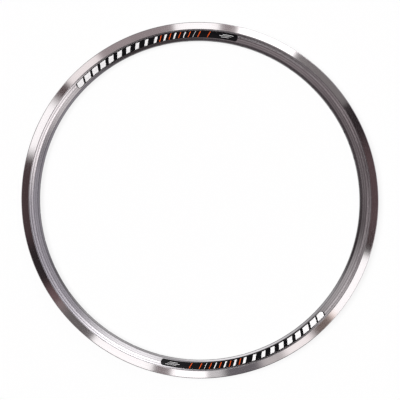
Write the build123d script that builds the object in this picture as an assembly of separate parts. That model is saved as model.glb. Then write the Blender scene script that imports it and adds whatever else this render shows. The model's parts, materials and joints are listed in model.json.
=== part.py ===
from build123d import *
import math
import os

# Bicycle rim, millimetres. The axle line is Z, the mid-plane is z = 0, and the valve hole lies on +X.
# The front side, which carries the stickers, faces +Z.

# Standard tyre seat, and the outer sizes of the rolled section
bead_seat_diameter = 622.0
flange_height = 6.0
rim_depth = 32.5
rim_width = 20.0

# Hooked flanges: the free width between the hooks, and the height of each hook
inner_width = 15.0
hook_height = 2.2

# Well between the bead seats
well_depth = 2.4
well_width = 10.0

# Side walls: the flat brake track, then two slopes that meet at a crease, then the bevel of the nose
track_height = 12.8
shoulder_height = 8.0
crease_width = 16.6
nose_height = 3.7
nose_width = 10.6
spoke_bed_width = 5.4

# Wall thicknesses, those of the brake track and side wall measured across the rim
brake_wall = 1.4
side_wall = 1.15
tyre_bed_wall = 1.2
spoke_bed_wall = 2.0

# Drilling
spoke_count = 36
nipple_hole = 4.5
valve_hole = 6.5

# Butt seam opposite the valve hole, and the sleeve that bridges it inside the hollow
seam_gap = 0.1
sleeve_length = 38.0
sleeve_wall = 2.2
sleeve_clearance = 0.1

# Stickers: film and glue, the arc that each covers, its distances from the nose and track, and its corners
film_thickness = 0.15
glue_thickness = 0.08
film_arc = 61.0
film_nose_margin = 1.4
film_track_margin = 3.0
film_corner = 4.6
upper_film_angle = 87.5
lower_film_angle = 266.3

# Radii of the section's levels
seat_radius = bead_seat_diameter / 2
outer_radius = seat_radius + flange_height
well_radius = seat_radius - well_depth
ceiling_radius = well_radius - tyre_bed_wall
track_radius = outer_radius - track_height
crease_radius = track_radius - shoulder_height
bed_radius = outer_radius - rim_depth
nose_radius = bed_radius + nose_height
floor_radius = bed_radius + spoke_bed_wall

# Distances of the section's faces from the mid-plane
track_half = rim_width / 2
flange_half = track_half - brake_wall
crease_half = crease_width / 2
nose_half = nose_width / 2
bed_half = spoke_bed_width / 2
lower_slope = (crease_half - nose_half) / (crease_radius - nose_radius)
nose_slope = (nose_half - bed_half) / nose_height
skin_half = min(nose_half + lower_slope * (floor_radius - nose_radius), bed_half + nose_slope * spoke_bed_wall)
floor_half = skin_half - side_wall


def two_sided(*front):
    """Face of a section from the outline of its front half, which starts and ends on the mid-plane."""
    half = Polyline(*front)
    return make_face(half + mirror(half, about=Plane.XZ))


def outer_section():
    return two_sided(
        (well_radius, 0),
        (well_radius, well_width / 2),
        (seat_radius, flange_half),
        (outer_radius - hook_height, flange_half),
        (outer_radius, inner_width / 2),
        (outer_radius, track_half),
        (track_radius, track_half),
        (crease_radius, crease_half),
        (nose_radius, nose_half),
        (bed_radius, bed_half),
        (bed_radius, 0),
    )


def hollow_section():
    """Hollow between the tyre bed and the spoke bed."""
    return two_sided(
        (ceiling_radius, 0),
        (ceiling_radius, flange_half),
        (crease_radius, crease_half - side_wall),
        (floor_radius, floor_half),
        (floor_radius, 0),
    )


def turned(section, middle, arc):
    """Section turned about the axle line, over an arc in degrees that lies evenly about a middle angle."""
    return Rot(Z=middle - arc / 2) * revolve(Plane.XZ * section, Axis.Z, arc)


def radial_drill(diameter, inner, outer, angle):
    """Cutter along a spoke's line, between two radii."""
    length = outer - inner
    return Rot(Z=angle) * Pos(X=inner + length / 2) * Rot(Y=90) * Cylinder(diameter / 2, length)


def rim_hoop():
    """Hollow hoop, open at the seam, with the valve hole midway between two neighbouring spoke holes."""
    seam_arc = math.degrees(seam_gap / outer_radius)
    hoop = turned(outer_section() - hollow_section(), 0, 360 - seam_arc)
    pitch = 360 / spoke_count
    inside = bed_radius - nipple_hole
    hollow_middle = (floor_radius + ceiling_radius) / 2
    drills = [radial_drill(valve_hole, inside, outer_radius, 0)]
    for index in range(spoke_count):
        drills.append(radial_drill(nipple_hole, inside, hollow_middle, pitch * (index + 0.5)))
    return hoop - drills


def joint_sleeve():
    """Short tube of the hollow's own section, centred on the seam."""
    shell = offset(hollow_section(), -sleeve_clearance, kind=Kind.INTERSECTION)
    bore = offset(shell, -sleeve_wall, kind=Kind.INTERSECTION)
    return turned(shell - bore, 180, math.degrees(sleeve_length / ceiling_radius))


def film_outline():
    """Sticker seen from the front: a stretch of the ring about +X, with rounded corners."""
    inner = nose_radius + film_nose_margin
    outer = track_radius - film_track_margin
    far = Vector(2 * outer, 0)
    wedge = Polyline((0, 0), far.rotate(Axis.Z, film_arc / 2), far.rotate(Axis.Z, -film_arc / 2), close=True)
    stretch = (Circle(outer) - Circle(inner)) & make_face(wedge)
    return fillet(stretch.vertices(), min(film_corner, 0.48 * (outer - inner)))


def decal(angle):
    """Film that lies on the front side wall and follows it over the crease."""
    wall = [(track_radius, track_half), (crease_radius, crease_half), (nose_radius, nose_half)]
    under = [(radius, height + glue_thickness) for radius, height in wall]
    over = [(radius, height + film_thickness) for radius, height in reversed(under)]
    layer = turned(make_face(Polyline(*under, *over, close=True)), 0, 2 * film_arc)
    return Rot(Z=angle) * (layer & extrude(film_outline(), rim_width))


def main():
    os.makedirs("parts", exist_ok=True)
    export_step(rim_hoop(), "parts/rim_hoop.step")
    export_step(joint_sleeve(), "parts/joint_sleeve.step")
    export_step(decal(upper_film_angle), "parts/decal_upper.step")
    export_step(decal(lower_film_angle), "parts/decal_lower.step")


main()
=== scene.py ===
import json
import math

import bmesh
import bpy
from mathutils import Matrix, Vector


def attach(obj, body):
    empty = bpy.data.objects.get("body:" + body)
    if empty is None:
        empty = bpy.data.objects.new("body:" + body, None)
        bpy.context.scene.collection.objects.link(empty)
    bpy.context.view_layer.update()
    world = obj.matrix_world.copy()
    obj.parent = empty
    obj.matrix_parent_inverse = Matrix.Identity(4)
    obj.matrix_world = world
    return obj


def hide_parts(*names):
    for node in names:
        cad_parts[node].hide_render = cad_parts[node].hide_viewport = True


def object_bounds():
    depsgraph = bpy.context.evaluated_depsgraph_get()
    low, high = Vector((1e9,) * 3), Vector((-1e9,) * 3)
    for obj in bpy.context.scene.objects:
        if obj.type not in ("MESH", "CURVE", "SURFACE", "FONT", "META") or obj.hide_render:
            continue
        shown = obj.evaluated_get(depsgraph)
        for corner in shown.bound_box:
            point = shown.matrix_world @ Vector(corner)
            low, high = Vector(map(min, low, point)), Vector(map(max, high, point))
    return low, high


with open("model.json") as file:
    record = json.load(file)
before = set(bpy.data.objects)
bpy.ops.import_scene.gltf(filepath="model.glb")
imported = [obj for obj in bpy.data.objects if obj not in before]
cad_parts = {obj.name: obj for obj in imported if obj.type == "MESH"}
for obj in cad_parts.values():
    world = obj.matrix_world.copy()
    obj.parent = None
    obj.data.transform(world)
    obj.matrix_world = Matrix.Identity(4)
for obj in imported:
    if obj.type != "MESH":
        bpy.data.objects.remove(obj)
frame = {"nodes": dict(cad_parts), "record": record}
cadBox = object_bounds()
scene = bpy.context.scene
mm = 0.001
upTurn = 69.7  # bearing in the rim's own plane, in degrees, that is up in the picture
viewLean, viewFrom = 6.86, 216.26  # how far from overhead the camera stands, and towards which bearing
print("frame loaded:", sorted(frame["nodes"]))


class Wire:  # an output socket that can be used in sums
    def __init__(self, bench, socket):
        self.bench = bench
        self.socket = socket

    def __add__(self, other):
        return self.bench.maths("ADD", self, other)

    def __radd__(self, other):
        return self.bench.maths("ADD", other, self)

    def __sub__(self, other):
        return self.bench.maths("SUBTRACT", self, other)

    def __rsub__(self, other):
        return self.bench.maths("SUBTRACT", other, self)

    def __mul__(self, other):
        return self.bench.maths("MULTIPLY", self, other)

    def __rmul__(self, other):
        return self.bench.maths("MULTIPLY", other, self)

    def __truediv__(self, other):
        return self.bench.maths("DIVIDE", self, other)

    def __rtruediv__(self, other):
        return self.bench.maths("DIVIDE", other, self)

    def __gt__(self, other):
        return self.bench.maths("GREATER_THAN", self, other)

    def __lt__(self, other):
        return self.bench.maths("LESS_THAN", self, other)

    def __abs__(self):
        return self.bench.maths("ABSOLUTE", self)


class Bench:  # a node tree with short ways to add to it
    def __init__(self, tree):
        self.tree = tree

    def node(self, kind, settings=None, sockets=None):
        made = self.tree.nodes.new(kind)
        for name, value in (settings or {}).items():
            setattr(made, name, value)
        for name, value in (sockets or {}).items():
            for one in value if isinstance(value, list) else [value]:
                if isinstance(one, Wire):
                    self.tree.links.new(one.socket, made.inputs[name])
                else:
                    made.inputs[name].default_value = one
        return made

    def add(self, kind, settings=None, sockets=None, outlet=0):
        return Wire(self, self.node(kind, settings, sockets).outputs[outlet])

    def maths(self, operation, *values):
        return self.add("ShaderNodeMath", {"operation": operation}, dict(enumerate(values)))

    def least(self, first, *others):
        for other in others:
            first = self.maths("MINIMUM", first, other)
        return first

    def most(self, first, *others):
        for other in others:
            first = self.maths("MAXIMUM", first, other)
        return first

    def ease(self, value, start, end):  # smooth step from nothing to one
        return self.add("ShaderNodeMapRange", {"interpolation_type": "SMOOTHSTEP"},
                        {"Value": value, "From Min": start, "From Max": end})

    def split(self, vector):
        parts = self.node("ShaderNodeSeparateXYZ", {}, {"Vector": vector})
        return [Wire(self, outlet) for outlet in parts.outputs]

    def join(self, x, y, z):
        return self.add("ShaderNodeCombineXYZ", {}, {"X": x, "Y": y, "Z": z})

    def blend(self, factor, first, second):  # colours, whose sockets share their names with others
        return self.add("ShaderNodeMix", {"data_type": "RGBA"},
                        {"Factor": factor, 6: first, 7: second}, outlet=2)


def geometryTree(name, inputs):
    tree = bpy.data.node_groups.new(name, "GeometryNodeTree")
    tree.interface.new_socket("Geometry", in_out="OUTPUT", socket_type="NodeSocketGeometry")
    for label, kind in inputs.items():
        tree.interface.new_socket(label, in_out="INPUT", socket_type="NodeSocket" + kind)
    bench = Bench(tree)
    source = tree.nodes.new("NodeGroupInput")
    return bench, {label: Wire(bench, source.outputs[label]) for label in inputs}


def creased(bench, geometry, angle):  # smooth faces that keep their sharp edges
    smooth = bench.add("GeometryNodeSetShadeSmooth", {"domain": "FACE"},
                       {"Geometry": geometry, "Shade Smooth": True})
    sharp = bench.add("GeometryNodeInputMeshEdgeAngle") > angle
    return bench.add("GeometryNodeSetShadeSmooth", {"domain": "EDGE"},
                     {"Geometry": smooth, "Selection": sharp, "Shade Smooth": False})


def finishTree(bench, geometry, finishes):  # finishes: pairs of a material input and the faces that take it
    whole = bench.add("GeometryNodeRealizeInstances", {}, {"Geometry": geometry})
    for finish, faces in finishes:
        sockets = {"Geometry": whole, "Material": finish}
        if faces is not None:
            sockets["Selection"] = faces
        whole = bench.add("GeometryNodeSetMaterial", {}, sockets)
    bench.node("NodeGroupOutput", {}, {"Geometry": whole})


def meshFromTree(name, bench, values):
    holder = bpy.data.objects.new(name, bpy.data.meshes.new(name + ".source"))
    scene.collection.objects.link(holder)
    modifier = holder.modifiers.new(name, "NODES")
    modifier.node_group = bench.tree
    keys = {item.name: item.identifier for item in bench.tree.interface.items_tree if item.in_out == "INPUT"}
    for label, value in values.items():
        modifier[keys[label]] = value
    made = bpy.data.meshes.new_from_object(holder.evaluated_get(bpy.context.evaluated_depsgraph_get()))
    made.name = name
    holder.modifiers.remove(modifier)
    holder.data = made
    made.calc_loop_triangles()
    print(name, "has", len(made.loop_triangles), "triangles")
    return holder


def material(name):
    made = bpy.data.materials.new(name)
    made.use_nodes = True
    made.node_tree.nodes.clear()
    return made, Bench(made.node_tree)


def surface(bench, sockets):
    shader = bench.add("ShaderNodeBsdfPrincipled", {}, sockets)
    bench.node("ShaderNodeOutputMaterial", {}, {"Surface": shader})


def objectPlace(bench):
    return bench.add("ShaderNodeTexCoord", {}, {}, outlet="Object")


def ringPlace(bench):  # object coordinates, with the distance from the axle line
    x, y, z = bench.split(objectPlace(bench))
    return x, y, z, bench.maths("SQRT", x * x + y * y)


drawnNoise = {"Scale": 1.0, "Detail": 3.0, "Roughness": 0.6}  # of the fine lines
cloudDetail = 2.0  # of the soft variation


def drawnLines(bench, look):  # fine lines that run round the rim
    x, y, z, radius = ringPlace(bench)
    wander, grain = look["wander"], look["grain"]
    vector = bench.join(x * wander, y * wander, radius * grain)
    return bench.add("ShaderNodeTexNoise", {"noise_dimensions": "4D"},
                     {"Vector": vector, "W": z * grain, **drawnNoise})


def clouds(bench, scale):
    return bench.add("ShaderNodeTexNoise", {},
                     {"Vector": objectPlace(bench), "Scale": scale, "Detail": cloudDetail})


def swing(noise):  # noise about its middle
    return noise - 0.5


def twoTone(bench, tone, look):
    return bench.blend(tone, (*look["shade"], 1), (*look["colour"], 1))


trackLook = {
    "colour": (0.88, 0.86, 0.865), "shade": (0.80, 0.78, 0.785), "contrast": (0.35, 0.65),
    "roughness": 0.06, "spread": 0.015, "grain": 700.0, "wander": 0.4, "brushed": 1.0, "brushTurn": 0.25,
}


def turnedTrack(look):  # brake track, turned on a lathe and left bright
    made, bench = material("turnedTrack")
    lines = drawnLines(bench, look)
    surface(bench, {
        "Base Color": twoTone(bench, bench.ease(lines, *look["contrast"]), look),
        "Metallic": 1.0, "Roughness": look["roughness"] + look["spread"] * swing(lines),
        "Anisotropic": look["brushed"], "Anisotropic Rotation": look["brushTurn"],
    })
    return made


wallLook = {
    "colour": (0.97, 0.96, 0.985), "shade": (0.30, 0.295, 0.305), "tone": 0.62,
    "roughness": 0.16, "spread": 0.04, "brushed": 0.4, "brushTurn": 0.25,
    "grain": 450.0, "wander": 0.3, "grainTone": 0.7, "cloud": 14.0, "cloudTone": 0.2,
    "bands": [  # painted highlight and painted shade rings, standing in for the bright and dark lines of the wall's reflection: distance from the axle line, half width, and how much paler
        (303.4, 0.7, -0.6), (301.9, 0.8, 0.2), (300.3, 0.8, -0.38), (297.7, 1.1, 0.36), (295.2, 0.9, -0.28),
        (293.3, 0.5, 0.18), (291.7, 0.5, -0.2), (290.2, 0.5, 0.15), (288.4, 0.8, -0.55),
    ],
}


def satinWall(look):  # anodised side wall with the lines of the drawing die, and rings of painted highlight and painted shade
    made, bench = material("satinWall")
    lines = drawnLines(bench, look)
    cloud = clouds(bench, look["cloud"])
    tone = look["tone"] + look["grainTone"] * swing(lines) + look["cloudTone"] * swing(cloud)
    *unused, radius = ringPlace(bench)
    # rings of painted highlight (paler) and painted shade (darker), by distance from the axle line
    for middle, half, paler in look["bands"]:
        tone = tone + paler * bench.ease(abs(radius - middle * mm), half * mm, 0.0)
    surface(bench, {
        "Base Color": twoTone(bench, tone, look),
        "Metallic": 1.0, "Roughness": look["roughness"] + look["spread"] * swing(cloud),
        "Anisotropic": look["brushed"], "Anisotropic Rotation": look["brushTurn"],
    })
    return made


bandLook = {  # the band that the spokes come out of, duller than the walls; its darker colour is painted shade, standing in for the dark it mirrors
    "colour": (0.30, 0.29, 0.30), "shade": (0.16, 0.155, 0.16), "contrast": (0.35, 0.65),
    "roughness": 0.38, "spread": 0.10, "grain": 700.0, "wander": 6.0, "groove": 0.2, "depth": 0.03,
}
bedLook = {  # as extruded, between the flanges and inside the hollow
    "colour": (0.70, 0.70, 0.71), "shade": (0.56, 0.56, 0.57), "contrast": (0.35, 0.65),
    "roughness": 0.42, "spread": 0.12, "grain": 500.0, "wander": 9.0, "groove": 0.3, "depth": 0.04,
}


def dullAlloy(name, look):
    made, bench = material(name)
    lines = drawnLines(bench, look)
    grooves = bench.add("ShaderNodeBump", {},
                        {"Strength": look["groove"], "Distance": look["depth"] * mm, "Height": lines})
    surface(bench, {
        "Base Color": twoTone(bench, bench.ease(lines, *look["contrast"]), look),
        "Metallic": 1.0, "Roughness": look["roughness"] + look["spread"] * swing(lines), "Normal": grooves,
    })
    return made


filmSizes = {
    "arc": 61.0, "inner": 289.6, "outer": 301.2, "corner": 4.6, "glue": 0.08, "film": 0.15,
    "columns": 261, "rows": 13, "weld": 0.001, "sharp": 40.0,
    "middles": {"decal_upper": 87.5, "decal_lower": 266.3},
}
printLook = {
    "film": (0.006, 0.006, 0.007), "white": (0.88, 0.88, 0.88), "orange": (0.90, 0.12, 0.02),
    "bars": 18, "slant": 0.55, "margin": 0.9, "edge": 0.25, "fadeFrom": 0.2, "fullShare": 0.86,
    "stripe": 1.5, "stripeFrom": 0.13, "stripeTo": 0.46,
    "dash": 0.8,
    "dashes": [(2.2, 0.030, 0.090), (0.0, 0.038, 0.105), (-2.2, 0.046, 0.090)],  # across, from, to
    "roughness": 0.13, "whiteRougher": 0.1, "mottle": 160.0, "mottleSpread": 0.05, "gloss": 0.2,
}


# white slanted bars that widen along the film, with orange stripes between them near its start
def printedFilm(sizes, look):
    made, bench = material("printedFilm")
    width = sizes["outer"] - sizes["inner"]
    length = math.radians(sizes["arc"]) * (sizes["outer"] + sizes["inner"]) / 2
    u, v, unused = bench.split(bench.add("ShaderNodeUVMap", {"uv_map": "filmMap"}))
    across = (v - 0.5) * width
    slanted = u * length + look["slant"] * across
    share = slanted / length
    pitch = length / look["bars"]
    fromBar = abs(bench.maths("FLOORED_MODULO", slanted, pitch) - pitch / 2)
    toEdge = bench.most(sizes["corner"] - (width / 2 - abs(across)), 0.0)
    toEnd = bench.most(sizes["corner"] - (length / 2 - abs(u - 0.5) * length), 0.0)
    pastCorner = bench.maths("SQRT", toEdge * toEdge + toEnd * toEnd)
    inside = sizes["corner"] - pastCorner  # distance in from the rounded outline
    within = bench.ease(inside, look["margin"], look["margin"] + look["edge"])
    grown = bench.most((share - look["fadeFrom"]) / (1 - look["fadeFrom"]), 0.0)
    white = bench.ease(grown * look["fullShare"] * pitch / 2 - fromBar, 0.0, look["edge"])
    for height, first, last in look["dashes"]:
        dash = bench.ease(look["dash"] / 2 - abs(across - height), 0.0, look["edge"])
        white = white + dash * (share > first) * (share < last)
    white = white * within
    stripe = bench.ease(pitch / 2 - fromBar, look["stripe"] / 2, look["stripe"] / 2 - look["edge"])
    orange = stripe * within * (share > look["stripeFrom"]) * (share < look["stripeTo"])
    colour = bench.blend(orange, (*look["film"], 1), (*look["orange"], 1))
    mottle = clouds(bench, look["mottle"])
    rougher = look["mottleSpread"] * swing(mottle) + look["whiteRougher"] * white
    surface(bench, {
        "Base Color": bench.blend(white, colour, (*look["white"], 1)),
        "Roughness": look["roughness"] + rougher, "Specular IOR Level": look["gloss"],
    })
    return made


wallCorners = {  # side wall: distance from the axle line and from the mid-plane, in mm
    "track": (304.2, 10.0), "crease": (296.2, 8.3), "nose": (288.2, 5.3), "bed": (284.5, 2.7),
}
hoopSizes = {  # sections, one half: distance from the axle line, from the mid-plane, and rounding, in mm
    "outer": [
        (308.6, 0, 0), (308.6, 5.0, 2.0), (311.0, 8.6, 1.0), (314.2, 8.6, 0.8), (315.5, 7.5, 0.7),
        (317.0, 7.6, 1.0), (317.0, 10.0, 1.0), (315.7, 10.0, 0), (304.5, 10.0, 0),
        (*wallCorners["track"], 0.1), (304.0, 9.74, 0.1), (302.98, 9.74, 0.1), (302.7, 9.68, 0),
        (*wallCorners["crease"], 9.0), (*wallCorners["nose"], 1.2), (*wallCorners["bed"], 2.0), (284.5, 0, 0),
    ],
    "hollow": [(307.4, 0, 0), (307.4, 8.6, 1.2), (296.2, 7.15, 12.0), (286.5, 2.95, 1.0), (286.5, 0, 0)],
    # the die's grooves: distance from the axle line, width and depth
    "grooves": [(299.9, 1.2, 0.11), (297.6, 0.6, 0.05), (292.7, 0.7, 0.06), (290.0, 0.7, 0.06)],
    "grooveFlat": 0.25, "rail": 300.0, "turns": 396, "arcPoints": 4, "fineCorner": 0.3, "sharp": 32.0,
    "spokeHoles": 36, "nipple": 2.25, "countersink": 1.0, "access": 4.25, "chamfer": 0.3,
    "drillFrom": 278.0, "drillTo": 313.5, "spokeFacets": 40, "valveFacets": 48,
    "seam": 0.1, "sawDepth": 60.0, "sawHeight": 40.0,
    "trackInner": 304.3, "trackSide": 9.9, "bandOuter": 285.4, "bedInner": 286.4, "skin": 0.6,
}


# half a section with the die's small grooves, and a flat on both sides of each
def grooved(half, grooves, flat):
    cut = half[:1]
    for before, after in zip(half, half[1:]):
        for middle, width, depth in grooves:
            if after[0] < middle < before[0]:
                slope = (after[1] - before[1]) / (after[0] - before[0])
                out = width / 2
                for step, sink in ((out + flat, 0), (out, 0), (0, depth), (-out, 0), (-out - flat, 0)):
                    cut.append((middle + step, before[1] + slope * (middle + step - before[0]) - sink, 0))
        cut.append(after)
    return cut


def sectionLoop(name, half, rail):  # closed spline whose point radius is the corner's rounding
    corners = half + [(radius, -side, rounding) for radius, side, rounding in reversed(half) if side > 0]
    curve = bpy.data.curves.new(name, "CURVE")
    curve.dimensions = "3D"
    spline = curve.splines.new("POLY")
    spline.points.add(len(corners) - 1)
    for point, (radius, side, rounding) in zip(spline.points, corners):
        point.co = ((radius - rail) * mm, side * mm, 0, 1)
        point.radius = rounding * mm
    spline.use_cyclic_u = True
    loop = bpy.data.objects.new(name, curve)
    scene.collection.objects.link(loop)
    return loop


def drillBit(name, steps, count):  # turned cutter along X, from pairs of place and radius
    shape = bmesh.new()
    turns = [2 * math.pi * index / count for index in range(count)]
    rings = []
    for place, radius in steps:
        circle = [(place * mm, radius * mm * math.cos(turn), radius * mm * math.sin(turn)) for turn in turns]
        rings.append([shape.verts.new(point) for point in circle])
    for low, high in zip(rings, rings[1:]):
        for index in range(count):
            after = (index + 1) % count
            shape.faces.new((low[index], low[after], high[after], high[index]))
    shape.faces.new(rings[0])
    shape.faces.new(rings[-1])
    bmesh.ops.recalc_face_normals(shape, faces=shape.faces)
    mesh = bpy.data.meshes.new(name)
    shape.to_mesh(mesh)
    shape.free()
    bit = bpy.data.objects.new(name, mesh)
    scene.collection.objects.link(bit)
    return bit


def sideWall(bench, radius):  # half width of the rim at a distance from the axle line, both in metres
    corners = sorted(wallCorners.values())
    lines = []
    for (low, lowSide), (high, highSide) in zip(corners, corners[1:]):
        slope = (highSide - lowSide) / (high - low)
        lines.append((radius - low * mm) * slope + lowSide * mm)
    return bench.least(corners[-1][1] * mm, *lines)


def hoopTree():
    bench, inlet = geometryTree("rolledHoop", {
        "Outer Section": "Object", "Hollow Section": "Object", "Rail Radius": "Float", "Turns": "Int",
        "Arc Points": "Int", "Fine Corner": "Float", "Sharp Angle": "Float",
        "Spoke Drill": "Object", "Spoke Holes": "Int", "Valve Drill": "Object",
        "Seam Width": "Float", "Saw Depth": "Float", "Saw Height": "Float",
        "Track Inner": "Float", "Track Side": "Float", "Band Outer": "Float", "Bed Inner": "Float",
        "Skin": "Float", "Track Finish": "Material", "Wall Finish": "Material",
        "Bed Finish": "Material", "Band Finish": "Material",
    })

    def objectShape(label):
        return bench.add("GeometryNodeObjectInfo", {}, {"Object": inlet[label]}, outlet="Geometry")

    def swept(label):
        rounding = bench.add("GeometryNodeInputRadius")
        points = 1 + (inlet["Arc Points"] - 1) * (rounding > inlet["Fine Corner"])
        rounded = bench.add("GeometryNodeFilletCurve", {"mode": "POLY"}, {
            "Curve": objectShape(label), "Count": points, "Radius": rounding, "Limit Radius": True})
        even = bench.add("GeometryNodeSetCurveRadius", {}, {"Curve": rounded, "Radius": 1.0})
        rail = bench.add("GeometryNodeCurvePrimitiveCircle", {"mode": "RADIUS"},
                         {"Resolution": inlet["Turns"], "Radius": inlet["Rail Radius"]})
        return bench.add("GeometryNodeCurveToMesh", {}, {"Curve": rail, "Profile Curve": even})

    # one drill for each spoke, the valve midway between two of them
    pitch = 2 * math.pi / inlet["Spoke Holes"]
    points = bench.add("GeometryNodePoints", {}, {"Count": inlet["Spoke Holes"]})
    turn = pitch * (bench.add("GeometryNodeInputIndex") + 0.5)
    aim = bench.add("FunctionNodeAxisAngleToRotation", {}, {"Axis": (0, 0, 1), "Angle": turn})
    drills = bench.add("GeometryNodeInstanceOnPoints", {}, {
        "Points": points, "Instance": objectShape("Spoke Drill"), "Rotation": aim})
    drills = bench.add("GeometryNodeRealizeInstances", {}, {"Geometry": drills})

    # the saw cut between the two ends of the rolled section
    sawSize = bench.join(inlet["Saw Depth"], inlet["Seam Width"], inlet["Saw Height"])
    saw = bench.add("GeometryNodeMeshCube", {}, {"Size": sawSize})
    saw = bench.add("GeometryNodeTransform", {}, {
        "Geometry": saw, "Translation": bench.join(0 - inlet["Rail Radius"], 0.0, 0.0)})

    cutters = [swept("Hollow Section"), drills, objectShape("Valve Drill"), saw]
    cut = bench.add("GeometryNodeMeshBoolean", {"operation": "DIFFERENCE", "solver": "MANIFOLD"},
                    {"Mesh 1": swept("Outer Section"), "Mesh 2": cutters})

    x, y, z = bench.split(bench.add("GeometryNodeInputPosition"))
    radius, side = bench.maths("SQRT", x * x + y * y), abs(z)
    bedFaces = ((sideWall(bench, radius) - side) > inlet["Skin"]) * (radius > inlet["Bed Inner"])
    trackFaces = (radius > inlet["Track Inner"]) * (side > inlet["Track Side"])
    finishTree(bench, creased(bench, cut, inlet["Sharp Angle"]), [
        (inlet["Wall Finish"], None), (inlet["Bed Finish"], bedFaces), (inlet["Track Finish"], trackFaces),
        # the band inside the nose takes the finish whose dark colour is painted shade
        (inlet["Band Finish"], radius < inlet["Band Outer"])])
    return bench


def makeHoop(sizes):
    valve = next(mount for mount in frame["record"]["mounts"] if mount["name"] == "valve_hole")
    stem = valve["dims"]["r_mm"]
    nipple, sink, chamfer, access = sizes["nipple"], sizes["countersink"], sizes["chamfer"], sizes["access"]
    start, end = sizes["drillFrom"], sizes["drillTo"]
    bed, well = sizes["outer"][-1][0], sizes["outer"][0][0]
    middle = (bed + well) / 2
    spokeDrill = drillBit("spokeDrill", [
        (start, nipple + sink), (bed, nipple + sink), (bed + sink, nipple), (middle, nipple),
        (middle, access), (well - chamfer, access), (well, access + chamfer), (end, access + chamfer),
    ], sizes["spokeFacets"])
    valveDrill = drillBit("valveDrill", [
        (start, stem + chamfer), (bed, stem + chamfer), (bed + chamfer, stem),
        (well - chamfer, stem), (well, stem + chamfer), (end, stem + chamfer),
    ], sizes["valveFacets"])
    outer = grooved(sizes["outer"], sizes["grooves"], sizes["grooveFlat"])
    outerLoop = sectionLoop("outerSection", outer, sizes["rail"])
    hollowLoop = sectionLoop("hollowSection", sizes["hollow"], sizes["rail"])
    hoop = meshFromTree("rimHoop", hoopTree(), {
        "Outer Section": outerLoop, "Hollow Section": hollowLoop, "Rail Radius": sizes["rail"] * mm,
        "Turns": sizes["turns"], "Arc Points": sizes["arcPoints"], "Fine Corner": sizes["fineCorner"] * mm,
        "Sharp Angle": math.radians(sizes["sharp"]), "Spoke Drill": spokeDrill,
        "Spoke Holes": sizes["spokeHoles"], "Valve Drill": valveDrill, "Seam Width": sizes["seam"] * mm,
        "Saw Depth": sizes["sawDepth"] * mm, "Saw Height": sizes["sawHeight"] * mm,
        "Track Inner": sizes["trackInner"] * mm, "Track Side": sizes["trackSide"] * mm,
        "Band Outer": sizes["bandOuter"] * mm, "Bed Inner": sizes["bedInner"] * mm,
        "Skin": sizes["skin"] * mm,
        "Track Finish": turnedTrack(trackLook), "Wall Finish": satinWall(wallLook),
        "Bed Finish": dullAlloy("tyreBed", bedLook), "Band Finish": dullAlloy("spokeBand", bandLook),
    })
    for helper in (outerLoop, hollowLoop, spokeDrill, valveDrill):
        bpy.data.objects.remove(helper)
    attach(hoop, "root")
    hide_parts("rim_hoop")


def filmTree():
    bench, inlet = geometryTree("stickerFilm", {
        "Middle": "Float", "Arc": "Float", "Inner": "Float", "Outer": "Float", "Corner": "Float",
        "Glue": "Float", "Film": "Float", "Columns": "Int", "Rows": "Int", "Weld": "Float",
        "Sharp Angle": "Float", "Film Finish": "Material",
    })
    grid = bench.add("GeometryNodeMeshGrid", {}, {
        "Size X": 1.0, "Size Y": 1.0, "Vertices X": inlet["Columns"], "Vertices Y": inlet["Rows"]})
    x, y, unused = bench.split(bench.add("GeometryNodeInputPosition"))
    share = bench.maths("SINE", x * math.pi) * 0.5  # columns close up towards the rounded ends
    length = inlet["Arc"] * (inlet["Inner"] + inlet["Outer"]) * 0.5
    toEnd = (0.5 - abs(share)) * length
    short = bench.most(inlet["Corner"] - toEnd, 0.0)
    rise = bench.most(inlet["Corner"] * inlet["Corner"] - short * short, 0.0)
    inset = inlet["Corner"] - bench.maths("SQRT", rise)
    low = inlet["Inner"] + inset
    radius = low + (y + 0.5) * (inlet["Outer"] - inset - low)
    turn = inlet["Middle"] + share * inlet["Arc"]
    height = sideWall(bench, radius) + inlet["Glue"]
    place = bench.join(radius * bench.maths("COSINE", turn), radius * bench.maths("SINE", turn), height)
    across = (radius - inlet["Inner"]) / (inlet["Outer"] - inlet["Inner"])
    mapped = bench.add("GeometryNodeStoreNamedAttribute", {"data_type": "FLOAT2", "domain": "CORNER"},
                       {"Geometry": grid, "Name": "filmMap", "Value": bench.join(share + 0.5, across, 0.0)})
    under = bench.add("GeometryNodeSetPosition", {}, {"Geometry": mapped, "Position": place})
    under = bench.add("GeometryNodeFlipFaces", {}, {"Mesh": under})
    over = bench.add("GeometryNodeExtrudeMesh", {"mode": "FACES"},
                     {"Mesh": under, "Offset": (0, 0, 1), "Offset Scale": inlet["Film"], "Individual": False})
    back = bench.add("GeometryNodeFlipFaces", {}, {"Mesh": under})
    closed = bench.add("GeometryNodeJoinGeometry", {}, {"Geometry": [over, back]})
    closed = bench.add("GeometryNodeMergeByDistance", {}, {"Geometry": closed, "Distance": inlet["Weld"]})
    finishTree(bench, creased(bench, closed, inlet["Sharp Angle"]), [(inlet["Film Finish"], None)])
    return bench


def makeFilms(sizes):
    bench = filmTree()
    finish = printedFilm(sizes, printLook)
    for node, middle in sizes["middles"].items():
        film = meshFromTree(node.replace("decal_", "sticker_"), bench, {
            "Middle": math.radians(middle), "Arc": math.radians(sizes["arc"]), "Inner": sizes["inner"] * mm,
            "Outer": sizes["outer"] * mm, "Corner": sizes["corner"] * mm, "Glue": sizes["glue"] * mm,
            "Film": sizes["film"] * mm, "Columns": sizes["columns"], "Rows": sizes["rows"],
            "Weld": sizes["weld"] * mm, "Sharp Angle": math.radians(sizes["sharp"]), "Film Finish": finish,
        })
        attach(film, "root")
        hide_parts(node)


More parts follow.
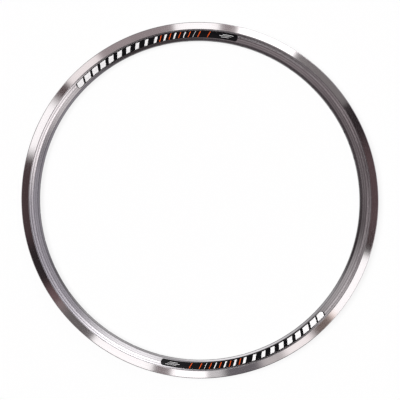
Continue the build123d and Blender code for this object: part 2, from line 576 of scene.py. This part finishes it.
def dressSleeve():  # sealed in the hollow at the seam
    sleeve = frame["nodes"]["joint_sleeve"]
    sleeve.data.materials.clear()
    sleeve.data.materials.append(bpy.data.materials["tyreBed"])
    print("sleeve dressed")


floorLook = {"gap": 0.1, "reach": 8.0, "cells": 8, "paint": (0.90, 0.90, 0.90), "glow": 0.84}


def makeFloor(look):  # pale, with part of its white as a glow that only the eye and reflections see
    shape = bmesh.new()
    bmesh.ops.create_grid(shape, x_segments=look["cells"], y_segments=look["cells"], size=look["reach"])
    bmesh.ops.translate(shape, verts=shape.verts, vec=(0, 0, cadBox[0][2] - look["gap"] * mm))
    mesh = bpy.data.meshes.new("floor")
    shape.to_mesh(mesh)
    shape.free()
    floor = bpy.data.objects.new("floor", mesh)
    scene.collection.objects.link(floor)
    made, bench = material("paleFloor")
    path = bench.node("ShaderNodeLightPath")
    kinds = ("Is Camera Ray", "Is Glossy Ray", "Is Transmission Ray")
    seen = [Wire(bench, path.outputs[kind]) for kind in kinds]
    paint = bench.add("ShaderNodeBsdfDiffuse", {}, {"Color": (*look["paint"], 1)})
    glow = bench.add("ShaderNodeEmission", {}, {"Color": (1, 1, 1, 1), "Strength": 1.0})
    mixed = bench.add("ShaderNodeMixShader", {}, {0: bench.most(*seen) * look["glow"], 1: paint, 2: glow})
    bench.node("ShaderNodeOutputMaterial", {}, {"Surface": mixed})
    mesh.materials.append(made)
    print("floor laid")


def wayTo(bearing, off):  # off degrees from overhead, towards a bearing clockwise from the top of the picture
    turn, lean = math.radians(upTurn - bearing), math.radians(off)
    return Vector((math.sin(lean) * math.cos(turn), math.sin(lean) * math.sin(turn), math.cos(lean)))


def pictureAxes(back):  # right and up, square to a line that comes back from the rim
    right = wayTo(0, 90).cross(back).normalized()
    return right, back.cross(right)


skyLook = {
    "dim": (0.026, 0.020, 0.022), "horizon": (0.98, 0.98, 0.985), "horizonFrom": 80.0, "horizonTo": 90.0,
    "nearBlur": 1.0, "farBlur": 3.0,
    "tints": {
        "white": (1.0, 0.98, 0.985), "warm": (1.0, 0.94, 0.935), "tan": (1.0, 0.76, 0.66),
        "rose": (1.0, 0.86, 0.88), "red": (1.0, 0.60, 0.62), "cool": (0.96, 0.91, 1.0),
    },
    "rings": {  # near and far edge, and cards: bearing, half width, power, tint, softness
        "track": (3, 11, [
            (359.0, 7.6, 1.25, "white", 0.6), (9.5, 2.9, 0.28, "rose", 0.6),
            (22.8, 10.4, 1.60, "white", 0.6), (45.2, 11.4, 0.18, "warm", 1.0),
            (87.0, 16.0, 0.07, "red", 7.0), (119.4, 11.2, 1.22, "white", 1.8),
            (131.0, 1.3, 0.52, "tan", 0.8), (135.4, 3.0, 0.15, "tan", 1.0),
            (145.8, 6.0, 1.08, "warm", 2.4), (156.1, 3.3, 0.56, "warm", 2.0),
            (164.6, 6.0, 0.13, "cool", 1.5), (174.8, 3.0, 0.62, "white", 1.8),
            (183.6, 5.9, 1.40, "white", 0.6), (192.0, 2.8, 0.25, "rose", 0.6),
            (206.7, 11.2, 1.25, "white", 0.9), (226.0, 8.3, 0.13, "warm", 1.0),
            (236.0, 4.4, 0.13, "red", 3.6), (270.0, 14.0, 0.042, "red", 4.0),
            (294.9, 9.7, 1.20, "white", 3.2), (307.5, 3.0, 0.06, "red", 1.0),
            (318.1, 6.7, 1.00, "warm", 1.2), (331.0, 6.5, 0.34, "rose", 1.2),
            (344.5, 6.8, 0.30, "rose", 1.0),
        ]),
        "shoulder": (13, 25, [
            (25.5, 15.0, 2.20, "white", 7.0), (50.0, 8.0, 0.18, "cool", 8.0),
            (66.0, 28.0, 0.54, "cool", 10.0), (114.0, 18.5, 1.52, "warm", 8.0),
            (225.0, 30.0, 0.13, "rose", 8.0), (237.0, 12.0, 0.17, "rose", 8.0),
            (272.0, 14.0, 0.07, "rose", 8.0), (285.0, 21.0, 0.19, "rose", 12.0),
            (310.0, 10.0, 0.66, "warm", 6.5),
        ]),
        "lowerWall": (28, 45, [
            (24.0, 14.0, 1.26, "white", 12.0), (72.0, 33.0, 0.35, "cool", 14.0),
            (124.0, 12.0, 0.74, "warm", 10.0), (222.0, 60.0, 0.15, "rose", 18.0),
            (205.0, 20.0, 0.07, "rose", 10.0), (305.0, 15.0, 0.46, "warm", 10.0),
        ]),
        "nose": (55, 78, [
            (352.0, 18.0, 1.08, "white", 14.0), (33.0, 18.0, 0.42, "white", 12.0),
            (100.0, 36.0, 0.30, "cool", 16.0), (215.0, 70.0, 0.045, "rose", 20.0),
            (318.0, 14.0, 0.43, "white", 10.0),
        ]),
        "room": (46, 53, [
            (58.0, 16.0, 0.95, "white", 7.0), (128.0, 20.0, 0.80, "white", 9.0),
            (205.0, 26.0, 0.75, "white", 8.0), (262.0, 12.0, 0.70, "white", 6.0),
            (322.0, 18.0, 0.95, "white", 8.0),
        ]),
    },
}


def makeSky(look):  # a dim room, bright low down, with light cards in rings overhead
    world = bpy.data.worlds.new("studioSky")
    scene.world = world
    world.use_nodes = True
    world.node_tree.nodes.clear()
    bench = Bench(world.node_tree)
    way = bench.add("ShaderNodeTexCoord", {}, {}, outlet="Generated")
    middle = wayTo(viewFrom - 180, viewLean)  # what a face that lies flat shows the camera
    right, top = pictureAxes(middle)

    def along(direction):
        return bench.add("ShaderNodeVectorMath", {"operation": "DOT_PRODUCT"},
                         {0: way, 1: direction}, outlet="Value")

    def angleFrom(direction):
        return bench.maths("ARCCOSINE", along(direction)) * math.degrees(1)

    def plus(light, tint, amount):
        part = bench.add("ShaderNodeVectorMath", {"operation": "SCALE"},
                         {0: bench.join(*tint), "Scale": amount})
        return bench.add("ShaderNodeVectorMath", {"operation": "ADD"}, {0: light, 1: part})

    lowDown = bench.ease(angleFrom((0, 0, 1)), look["horizonFrom"], look["horizonTo"])
    light = plus(bench.join(*look["dim"]), look["horizon"], lowDown)
    off = angleFrom(middle)
    nearBlur, farBlur = look["nearBlur"], look["farBlur"]
    for name, (near, far, cards) in look["rings"].items():
        pastNear = bench.ease(off, near - nearBlur, near + nearBlur)
        ring = pastNear * bench.ease(off, far + farBlur, far - farBlur)
        for bearing, half, power, tint, soft in cards:
            turn = math.radians(bearing)
            ahead = along(top * math.cos(turn) + right * math.sin(turn))
            aside = along(right * math.cos(turn) - top * math.sin(turn))
            fromCard = abs(bench.maths("ARCTAN2", aside, ahead)) * math.degrees(1)
            card = bench.ease(fromCard, half + soft, half - soft)
            light = plus(light, look["tints"][tint], card * ring * power)
        print("sky ring", name, "has", len(cards), "cards")
    back = bench.add("ShaderNodeBackground", {}, {"Color": light, "Strength": 1.0})
    bench.node("ShaderNodeOutputWorld", {}, {"Surface": back})


lampLook = {"bearing": 270.0, "off": 25.0, "power": 2.7, "width": 30.0}


def makeLamp(look):
    data = bpy.data.lights.new("key", "SUN")
    data.energy = look["power"]
    data.angle = math.radians(look["width"])
    lamp = bpy.data.objects.new("key", data)
    lamp.rotation_euler = wayTo(look["bearing"], look["off"]).to_track_quat("Z", "Y").to_euler()
    lamp.visible_glossy = False  # the metal mirrors the cards alone
    scene.collection.objects.link(lamp)
    print("lamp hung")


cameraLook = {  # aim: how far right of the rim's middle and above it the picture's middle is, in mm
    "distance": 2500.0, "aim": (-2.043, -2.504), "lens": 126.64, "sensor": 36.0, "clip": (0.01, 100.0),
}


def makeCamera(look):
    back = wayTo(viewFrom, viewLean)
    right, upward = pictureAxes(back)
    data = bpy.data.cameras.new("camera")
    data.lens = look["lens"]
    data.sensor_width = look["sensor"]
    data.clip_start, data.clip_end = look["clip"]
    camera = bpy.data.objects.new("camera", data)
    place = right * look["aim"][0] + upward * look["aim"][1] + back * look["distance"]
    turned = Matrix((right, upward, back)).transposed().to_4x4()
    camera.matrix_world = Matrix.Translation(place * mm) @ turned
    scene.collection.objects.link(camera)
    scene.camera = camera
    print("camera set")


scene.view_settings.view_transform = "Standard"
makeHoop(hoopSizes)
makeFilms(filmSizes)
dressSleeve()
makeFloor(floorLook)
makeSky(skyLook)
makeLamp(lampLook)
makeCamera(cameraLook)
bpy.context.view_layer.update()
